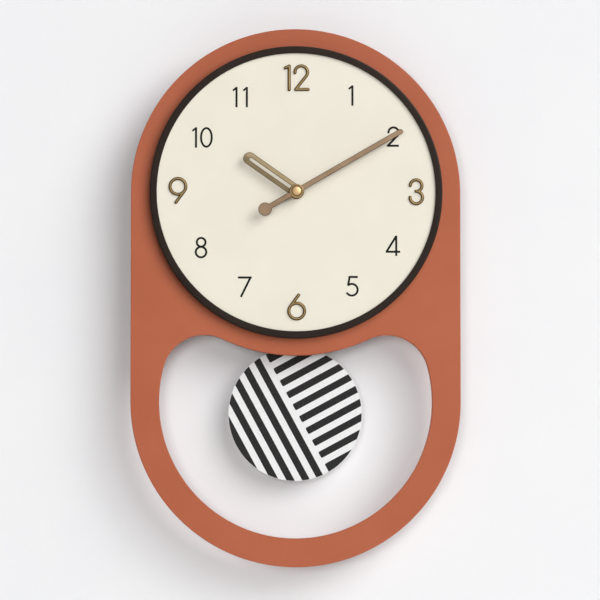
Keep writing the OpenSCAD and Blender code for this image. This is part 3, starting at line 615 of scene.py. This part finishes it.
def printed_figures():
    """For each hour, the shapes of its print, each an outer outline and its holes."""
    return {
        1: upright(51.1, 78.8, 97.4),
        2: [pen(arc((88.5, 54.5), 4.6, 190, -38, 12) + [(83.7, 42.8)]), pen([(82.4, 42.4), (93.3, 42.4)])],
        4: [pen([(90.7, -40.1), (82.2, -53.8)]), pen([(81.3, -54.2), (94.4, -54.2)]),
            pen([(90.8, -39.5), (90.8, -57.9)])],
        5: [pen([(55.8, -77.2), (47.8, -77.2)]), pen([(48.5, -76.5), (47.1, -84.7)]),
            pen(arc((50.4, -88.8), 5.3, 135, -152, 12))],
        7: [pen([(-52.9, -77.9), (-40.4, -77.9)]), pen([(-41.4, -77.7), (-50.2, -95.6)])],
        8: [printed_ring((-86.2, -46.0), 4.9, 4.9, 8), printed_ring((-86.3, -54.9), 5.7, 5.7, 8)],
        10: upright(-91.0, 40.0, 58.6) + [printed_ring((-81.6, 49.4), 5.8, 9.4, 6)],
        11: upright(-54.3, 77.0, 95.5) + upright(-44.9, 77.0, 95.5),
    }


def build_print():
    for hour, shapes in printed_figures().items():
        mesh = bmesh.new()
        add_plate(mesh, outlines(shapes), DIAL_FRONT, DIAL_FRONT + PRINT_HEIGHT)
        make_piece(f"printed_{hour}", mesh, "root", [PRINT_BLACK])


build_print()


# ---- Raised numerals ----

STROKE = 2.8
NUMERAL_FRONT = depths_of("numeral_12")[1]
NUMERAL_EDGE = (1.15, 1.0)


def bar(points):
    """A stroke with round ends, as a shape without holes."""
    return stroke(points, STROKE), []


def leg(radius, tip):
    """A straight leg that leaves a ring about the origin at a tangent and ends at tip."""
    a = math.atan2(tip[1], tip[0]) + math.acos(radius / math.hypot(*tip))
    return bar([(radius * math.cos(a), radius * math.sin(a)), tip])


def raised_six(centre, turn):
    """The ring and leg of a six. Turned half round, it is a nine."""
    ring = 7.15
    outer, inner = circle((0, 0), ring + STROKE / 2, 6), circle((0, 0), ring - STROKE / 2, 6)
    shapes = [ring_shape(outer, inner), leg(ring, (1.8, 14.5))]
    return [(moved(turned(outer, turn), centre), [moved(turned(hole, turn), centre) for hole in holes])
            for outer, holes in shapes]


def raised_figures():
    bowl = arc((4.6, 109.2), 5.75, 184, -36, 8)
    return {
        "12": [bar([(-6.4, 93.2), (-6.4, 114.8)]), bar([(-10.1, 113.0), (-6.4, 114.8)]),
               bar(bowl + [(-0.5, 93.5)]), bar([(-0.5, 93.5), (10.8, 93.5)])],
        "3": [bar(arc((109, 6.0), 5.3, 178, -62, 8)), bar(arc((109.1, -4.75), 5.7, 92, -182, 8))],
        "6": raised_six((0.4, -108.2), 0),
        "9": raised_six((-107.3, 4.7), 180),
    }


def build_raised():
    for name, shapes in raised_figures().items():
        strokes = []
        for outer, holes in shapes:
            strokes.append(bmesh.new())
            # All but the front band of each stroke's rounded edge take the darker bronze, a painted shade.
            add_plate(strokes[-1], [outer, *holes], DIAL_FRONT, NUMERAL_FRONT, NUMERAL_EDGE, (0, 0),
                      steps=5, side=1, lit_steps=1)
        make_piece(f"raised_{name}", fused(strokes), "root",
                   [NUMERAL_TOP, NUMERAL_PAINTED_SHADE], [f"numeral_{name}"], sharp=60)


build_raised()


# ---- Hands ----

HOUR_ANGLE, MINUTE_ANGLE = 305, 60
HOUR_COLLET, MINUTE_COLLET = 1.6, 1.4
RIM_HEIGHT = 0.5
HOUR_COLLET_BACK, HOUR_FRONT = depths_of("hour_hand")
HOUR_BACK = HOUR_COLLET_BACK + HOUR_COLLET
MINUTE_COLLET_BACK, RIM_FRONT = depths_of("minute_hand")
MINUTE_BACK = MINUTE_COLLET_BACK + MINUTE_COLLET
MINUTE_FRONT = RIM_FRONT - RIM_HEIGHT
PIPE_RADIUS = radius_of("hour_pipe")
ARBOR_RADIUS = radius_of("minute_arbor")
HAND_EDGE = (0.45, 0.35)
HAND_BACK_EDGE = (0.15, 0.15)


def add_collet(mesh, outer, inner, back, front):
    profile = fillet([(inner, back), (outer, back), (outer, front), (inner, front)], 0.12)
    # The collet takes the material at index 1, the hands' painted-shade bronze.
    add_lathe(mesh, profile, ON_AXIS, 64, closed=True, material=1)


def build_hour_hand():
    width, slot_width, reach, hub, collet = 11.2, 3, 57.7, 6.8, 3.8
    slot_low, slot_high = 4.6, 52.1
    fall = 0.09
    bar = stroke([(0, 0), (0, reach - width / 2)], width)
    slot = stroke([(0, slot_low + slot_width / 2), (0, slot_high - slot_width / 2)], slot_width)[::-1]
    loops = outlines([(bar, [slot]), (circle((0, 0), hub), [])])
    loops = [turned(loop, HOUR_ANGLE) for loop in loops] + [circle((0, 0), PIPE_RADIUS)[::-1]]
    mesh = bmesh.new()
    # The hand's rounded edges and slot take the painted-shade bronze.
    add_plate(mesh, loops, HOUR_BACK, HOUR_FRONT, HAND_EDGE, HAND_BACK_EDGE, side=1)
    # The front falls away from the middle of the hand to both sides like a low roof, and the corners
    # under it are moved in proportion to their height
    a = math.radians(HOUR_ANGLE)
    across, middle = Vector((math.cos(a), 0, -math.sin(a))), point(0, 0, 0)
    base = HOUR_BACK + HAND_BACK_EDGE[1]
    for corner in mesh.verts:
        height = (-corner.co.y / MM - base) / (HOUR_FRONT - base)
        corner.co.y += fall * max(0, height) * abs((corner.co - middle).dot(across))
    add_collet(mesh, collet, PIPE_RADIUS, HOUR_COLLET_BACK, HOUR_BACK)
    make_piece("slotted_hour_hand", mesh, "hour", [HAND_OLIVE, HAND_PAINTED_SHADE],
               ["hour_hand"])


def build_minute_hand():
    width, reach, hub, tail, tail_radius, collet = 4.7, 111, 6.4, 33, 6, 3.2
    rim, rim_inset, rim_round, sunk = 1.5, 0.1, 0.4, 0.05
    bar = stroke([(0, -tail), (0, reach - width / 2)], width)
    loops = outlines([(bar, []), (circle((0, 0), hub), []), (circle((0, -tail), tail_radius), [])])
    loops = [turned(loop, MINUTE_ANGLE) for loop in loops] + [circle((0, 0), ARBOR_RADIUS)[::-1]]
    mesh = bmesh.new()
    # The hand's rounded edges take the painted-shade bronze.
    add_plate(mesh, loops, MINUTE_BACK, MINUTE_FRONT, HAND_EDGE, HAND_BACK_EDGE, side=1)
    add_collet(mesh, collet, ARBOR_RADIUS, MINUTE_COLLET_BACK, MINUTE_BACK)
    inside, outside, foot = hub - rim, hub - rim_inset, MINUTE_FRONT - sunk
    raised_rim = [(inside, foot), (outside, foot), (outside, RIM_FRONT), (inside, RIM_FRONT)]
    raised_rim = fillet(raised_rim, [0, 0, rim_round, rim_round], steps=5)
    add_lathe(mesh, raised_rim, ON_AXIS, 96, closed=True, material=2)
    make_piece("long_minute_hand", mesh, "minute",
               [HAND_TOP, HAND_PAINTED_SHADE, HAND_RIM], ["minute_hand"])


def build_cap():
    """A domed brass cap that stands on a wider foot, coloured dark as a painted shadow ring round the dome.
    """
    back, front = depths_of("hand_cap")
    foot_radius = radius_of("hand_cap")
    arbor_front = depths_of("minute_arbor")[1]
    foot_width, foot_height, wall_height = 0.45, 0.3, 0.8
    dome_radius, ledge_front, shoulder = foot_radius - foot_width, back + foot_height, back + wall_height
    angles = [math.radians(a) for a in range(0, 91, 9)]
    dome = [(dome_radius * math.sin(a), shoulder + (front - shoulder) * math.cos(a)) for a in angles]
    mesh = bmesh.new()
    add_lathe(mesh, dome + [(dome_radius, ledge_front)], ON_AXIS, 64)
    ledge = fillet([(dome_radius, ledge_front), (foot_radius, ledge_front), (foot_radius, back),
                    (ARBOR_RADIUS, back), (ARBOR_RADIUS, arbor_front), (0, arbor_front)],
                   [0, 0.12, 0.1, 0, 0, 0], closed=False)
    # The foot takes the painted-shade bronze, a painted shadow ring round the dome.
    add_lathe(mesh, ledge, ON_AXIS, 64, material=1)
    bmesh.ops.remove_doubles(mesh, verts=mesh.verts, dist=1e-7)
    make_piece("domed_cap", mesh, "minute", [BRASS, HAND_PAINTED_SHADE], ["hand_cap"], sharp=50)


build_hour_hand()
build_minute_hand()
build_cap()


# ---- Bob ----

BOB_CENTRE = centre_of("bob_disc")
BOB_RADIUS = radius_of("bob_disc")
BOB_BACK, BOB_FRONT = depths_of("bob_disc")
BOB_PRINT = 0.08
BOB_EDGE = 0.3
STRIPE_TURN = -61.6
STRIPE_CORNER = 1.2
# Both edges of each stripe before the print is turned: the long stripes lie below the middle, and the
# short ones stand on the line at SHORT_START
LONG_STRIPES = [(-10.5, -4.0), (-23.0, -16.5), (-35.6, -29.1), (-48.1, -41.6), (-62, -54.1)]
SHORT_STRIPES = [(-62, -52.1), (-46.1, -39.9), (-33.8, -27.4), (-21.5, -15.1), (-9.1, -2.7), (3.3, 9.7),
                 (15.6, 22.0), (28.0, 34.4), (40.4, 46.7), (52.7, 62)]
SHORT_START = 2.0


def clipped(loop, radius, step=2.0):
    """The part of a convex outline inside a disc about the origin."""
    limit = radius * math.cos(math.radians(step / 2))
    for i in range(round(360 / step)):
        a = math.radians(i * step)
        normal = math.cos(a), math.sin(a)
        kept = []
        for p, q in zip(loop, loop[1:] + loop[:1]):
            dp = p[0] * normal[0] + p[1] * normal[1] - limit
            dq = q[0] * normal[0] + q[1] * normal[1] - limit
            if dp <= 0:
                kept.append(p)
            if dp * dq < 0:
                t = dp / (dp - dq)
                kept.append((p[0] + (q[0] - p[0]) * t, p[1] + (q[1] - p[1]) * t))
        loop = kept
    return [p for i, p in enumerate(loop) if math.dist(p, loop[i - 1]) > 1e-4]


def build_bob():
    mesh = bmesh.new()
    profile = [(0, BOB_BACK), (BOB_RADIUS, BOB_BACK), (BOB_RADIUS, BOB_FRONT), (0, BOB_FRONT)]
    rounded = fillet(profile, [0, BOB_EDGE, BOB_EDGE, 0], closed=False)
    add_lathe(mesh, rounded, facing(BOB_CENTRE), 192)
    make_piece("bob_plate", mesh, "pendulum", [BOB_WHITE], ["bob_disc"])

    far, a = 2 * BOB_RADIUS, math.radians(STRIPE_TURN)
    stripes = [fillet(panel(-far, low, far, high), STRIPE_CORNER) for low, high in LONG_STRIPES]
    stripes += [fillet(panel(low, SHORT_START, high, far), STRIPE_CORNER) for low, high in SHORT_STRIPES]
    mesh = bmesh.new()
    for stripe in stripes:
        loop = clipped(stripe, BOB_RADIUS - BOB_EDGE)
        spun = [(x * math.cos(a) - z * math.sin(a), x * math.sin(a) + z * math.cos(a)) for x, z in loop]
        add_plate(mesh, [moved(spun, BOB_CENTRE)], BOB_FRONT, BOB_FRONT + BOB_PRINT)
    make_piece("bob_stripes", mesh, "pendulum", [BOB_BLACK])


build_bob()


# ---- Small parts on the back and at the dial's centre ----

def build_nut():
    back, front = depths_of("hex_nut")
    hexagon = fillet(circle((0, 0), radius_of("hex_nut"), 60), 0.6)
    mesh = bmesh.new()
    add_plate(mesh, [hexagon, circle((0, 0), BUSHING_RADIUS, 6)[::-1]], back, front, (0.3, 0.25))
    make_piece("bushing_nut", mesh, "root", [BRASS_PART], ["hex_nut"])


def build_battery():
    """A cell that lies from left to right, with its raised contact on the right."""
    low, high = node_box("battery_cell")
    z, depth = (low.z + high.z) / 2 - AXIS_Z, -(low.y + high.y) / 2
    radius = (high.z - low.z) / 2
    start, end = low.x - AXIS_X, high.x - AXIS_X
    nub, nub_radius, band, recess = 1.0, 2.9, 9.0, 0.2
    shoulder = end - nub
    place = lying(z, depth)
    mesh = bmesh.new()
    body = [(0, start + recess), (radius - 1.8, start + recess), (radius - 1.5, start), (radius - 0.4, start),
            (radius, start + 0.4), (radius, shoulder - band)]
    top = [(radius, shoulder - band), (radius, shoulder - 0.5), (radius - 0.5, shoulder),
           (nub_radius, shoulder), (nub_radius - 0.15, end - 0.3), (nub_radius - 0.5, end), (0, end)]
    add_lathe(mesh, body, place, 64)
    add_lathe(mesh, top, place, 64, material=1)
    bmesh.ops.remove_doubles(mesh, verts=mesh.verts, dist=1e-6)
    make_piece("aa_cell", mesh, "root", [CELL_WRAP, CELL_BAND], ["battery_cell"])


build_nut()
build_battery()


# ---- Materials of the CAD nodes that stay ----

NODE_FINISHES = {
    RAIL_PAINT: ["rail_top", "rail_left", "rail_right"],
    STEEL: ["hanger_plate", "hanger_screws", "ring_screws", "cover_screws", "rotor_arbor",
            "intermediate_arbor", "second_arbor", "third_arbor", "reverser_arbor", "contact_positive",
            "contact_negative", "quartz_crystal", "pivot_pin", "rod_pin"],
    RUBBER: ["wall_bumpers", "rubber_washer"],
    CASE_BLACK: ["movement_case", "movement_cover"],
    BRASS_PART: ["brass_washer", "minute_arbor", "centre_wheel"],
    GEAR_PLASTIC: ["train_plate", "intermediate_wheel", "second_wheel", "third_wheel",
                   "reverser_wheel", "hour_wheel", "hour_pipe", "minute_pinion", "setting_pinion",
                   "rotor_pinion"],
    WHITE_PLASTIC: ["motor_bobbin", "drive_bobbin", "set_knob", "bob_clip", "pendulum_hanger"],
    BOARD_GREEN: ["circuit_board"],
    LAMINATION: ["stator_plate", "motor_core"],
    COPPER: ["motor_winding", "drive_winding"],
    FERRITE: ["rotor_magnet", "drive_magnet"],
    ROD_METAL: ["pendulum_rod"],
}
NODE_EDGES = {"rail_top": 0.8, "rail_left": 0.8, "rail_right": 0.8, "hanger_plate": 0.25,
              "movement_case": 0.3, "movement_cover": 0.35, "pendulum_hanger": 0.25, "bob_clip": 0.3,
              "pendulum_rod": 0.15, "set_knob": 0.15, "hanger_screws": 0.08,
              "ring_screws": 0.08, "cover_screws": 0.06}


def round_edges(carried, radius):
    """Welds the corners of a CAD node's faces and rounds its edges."""
    weld = carried.modifiers.new("Weld", "WELD")
    weld.merge_threshold = 1e-6
    bevel = carried.modifiers.new("Edges", "BEVEL")
    bevel.width = radius * MM
    bevel.segments = 3
    bevel.limit_method = "ANGLE"
    bevel.angle_limit = math.radians(40)
    bevel.harden_normals = True


def finish_nodes():
    for finish, nodes in NODE_FINISHES.items():
        for node in nodes:
            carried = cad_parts[node]
            carried.data.materials.clear()
            carried.data.materials.append(finish)
            if node in NODE_EDGES:
                round_edges(carried, NODE_EDGES[node])


finish_nodes()


# ---- Wall and floor ----

WALL_GAP = 0.0004
WALL_TOP = 3.0
FLOOR_DROP = 1.2
ROOM_HALF = 4.0


def plane(name, corners, finish):
    data = bpy.data.meshes.new(name)
    data.from_pydata([Vector(c) for c in corners], [], [list(range(len(corners)))])
    data.materials.append(finish)
    made = bpy.data.objects.new(name, data)
    bpy.context.scene.collection.objects.link(made)
    return made


def wall_finish():
    """Pale matt wall paint, seen from the room only."""
    made = Finish("wall_paint", ior=1.45)
    grain = made.noise(2.5, 3)
    made.colour(made.clouds(120, 4, (239, 239, 240), (237, 237, 239), 0.6))
    made.rough(grain, 0.8, 0.9)
    made.bump(grain, 0.05)
    tree = made.tree
    clear = tree.nodes.new("ShaderNodeBsdfTransparent")
    behind = tree.nodes.new("ShaderNodeNewGeometry").outputs["Backfacing"]
    choose = tree.nodes.new("ShaderNodeMixShader")
    tree.links.new(behind, choose.inputs[0])
    tree.links.new(made.shader.outputs[0], choose.inputs[1])
    tree.links.new(clear.outputs[0], choose.inputs[2])
    tree.links.new(choose.outputs[0], tree.nodes["Material Output"].inputs["Surface"])
    return made.material


def build_stage():
    half = ROOM_HALF
    wall = plane("wall", [(-half, WALL_GAP, -FLOOR_DROP), (half, WALL_GAP, -FLOOR_DROP),
                          (half, WALL_GAP, WALL_TOP), (-half, WALL_GAP, WALL_TOP)], wall_finish())
    wall.visible_shadow = False
    floor_paint = paint("floor_paint", (208, 208, 206), (202, 202, 200), 150, 4, (0.6, 0.75), 0.1)
    plane("floor", [(-half, -half, -FLOOR_DROP), (half, -half, -FLOOR_DROP), (half, half, -FLOOR_DROP),
                    (-half, half, -FLOOR_DROP)], floor_paint)


build_stage()


# ---- Lights ----
# The board has a key light of its own, because its shadows in the photograph are narrower and darker than
# those on the wall.

TARGET = point(0, -95, 20)
KEY_WATTS = 1350
SIDE_WATTS = 660
FRONT_WATTS = 187
BOARD_KEY_WATTS = 1040
BACK_WATTS = 36
WORLD_TINT = (0.96, 0.97, 1.0, 1)
WORLD_STRENGTH = 0.07
WORLD_SHEEN = 0.4
WORLD_SEEN = 0.72


def add_light(name, offset, size, watts):
    """A round area light at an offset from the target, aimed at it."""
    data = bpy.data.lights.new(name, "AREA")
    data.shape = "DISK"
    data.size = size
    data.energy = watts
    lamp = bpy.data.objects.new(name, data)
    lamp.location = TARGET + offset
    lamp.rotation_mode = "QUATERNION"
    lamp.rotation_quaternion = offset.to_track_quat("Z", "Y")
    bpy.context.scene.collection.objects.link(lamp)
    return lamp


def light_first_hit_only(lamp):
    """Lets a lamp light what the camera sees, and adds nothing to light that has bounced."""
    lamp.data.use_nodes = True
    tree = lamp.data.node_tree
    path = tree.nodes.new("ShaderNodeLightPath")
    compare = tree.nodes.new("ShaderNodeMath")
    compare.operation = "LESS_THAN"
    compare.inputs[1].default_value = 1.5
    tree.links.new(path.outputs["Ray Depth"], compare.inputs[0])
    tree.links.new(compare.outputs[0], tree.nodes["Emission"].inputs["Strength"])


def link_lights(name, lamps, piece, state):
    """Makes lamps light a piece alone (INCLUDE) or all but that piece (EXCLUDE)."""
    receivers = bpy.data.collections.new(name)
    receivers.objects.link(piece)
    receivers.collection_objects[0].light_linking.link_state = state
    for lamp in lamps:
        lamp.light_linking.receiver_collection = receivers


def build_lights():
    key = add_light("key", Vector((0.75, -1.0, 0.62)).normalized() * 14, 12.6, KEY_WATTS)
    side = add_light("side", Vector((1.7, -1.0, 1.3)).normalized() * 14, 9.3, SIDE_WATTS)
    front = add_light("front", Vector((-1.4, -8.0, 0.3)), 2.6, FRONT_WATTS)
    front.visible_glossy = False
    board_key = add_light("board_key", Vector((0.42, -1.0, 0.27)).normalized() * 10, 10.5, BOARD_KEY_WATTS)
    link_lights("all_but_the_board", [key, side, front], BOARD, "EXCLUDE")
    link_lights("the_board", [board_key], BOARD, "INCLUDE")
    light_first_hit_only(add_light("back_left", Vector((-1.3, 2.2, 1.0)), 1.6, BACK_WATTS))
    light_first_hit_only(add_light("back_right", Vector((1.5, 2.0, 0.4)), 1.6, BACK_WATTS / 2))


def build_world():
    """A pale room that is brighter in reflections and to the camera than in the light it gives."""
    world = bpy.data.worlds.new("studio")
    world.use_nodes = True
    tree = world.node_tree
    background = tree.nodes["Background"]
    background.inputs["Color"].default_value = WORLD_TINT
    path = tree.nodes.new("ShaderNodeLightPath")
    strength = None
    for ray, level in (("Is Glossy Ray", WORLD_SHEEN), ("Is Camera Ray", WORLD_SEEN)):
        choose = tree.nodes.new("ShaderNodeMapRange")
        choose.inputs["To Min"].default_value = WORLD_STRENGTH
        choose.inputs["To Max"].default_value = level
        tree.links.new(path.outputs[ray], choose.inputs["Value"])
        if strength:
            tree.links.new(strength, choose.inputs["To Min"])
        strength = choose.outputs["Result"]
    tree.links.new(strength, background.inputs["Strength"])
    bpy.context.scene.world = world


build_lights()
build_world()


# ---- Camera ----

def build_camera():
    """A long lens aimed at the middle of the photograph's frame, from slightly below and to the left."""
    distance, frame_width, sensor = 3.2, 0.5453, 36
    middle = point(3.75, -97.65, BOARD_FRONT)
    toward = Vector((-0.035, -1, -0.055)).normalized()
    data = bpy.data.cameras.new("camera")
    data.sensor_width = sensor
    data.lens = sensor * distance / frame_width
    data.clip_start, data.clip_end = 0.05, 30
    camera = bpy.data.objects.new("camera", data)
    camera.location = middle + toward * distance
    camera.rotation_mode = "QUATERNION"
    camera.rotation_quaternion = toward.to_track_quat("Z", "Y")
    bpy.context.scene.collection.objects.link(camera)
    bpy.context.scene.camera = camera


build_camera()
bpy.context.scene.view_settings.view_transform = "Standard"
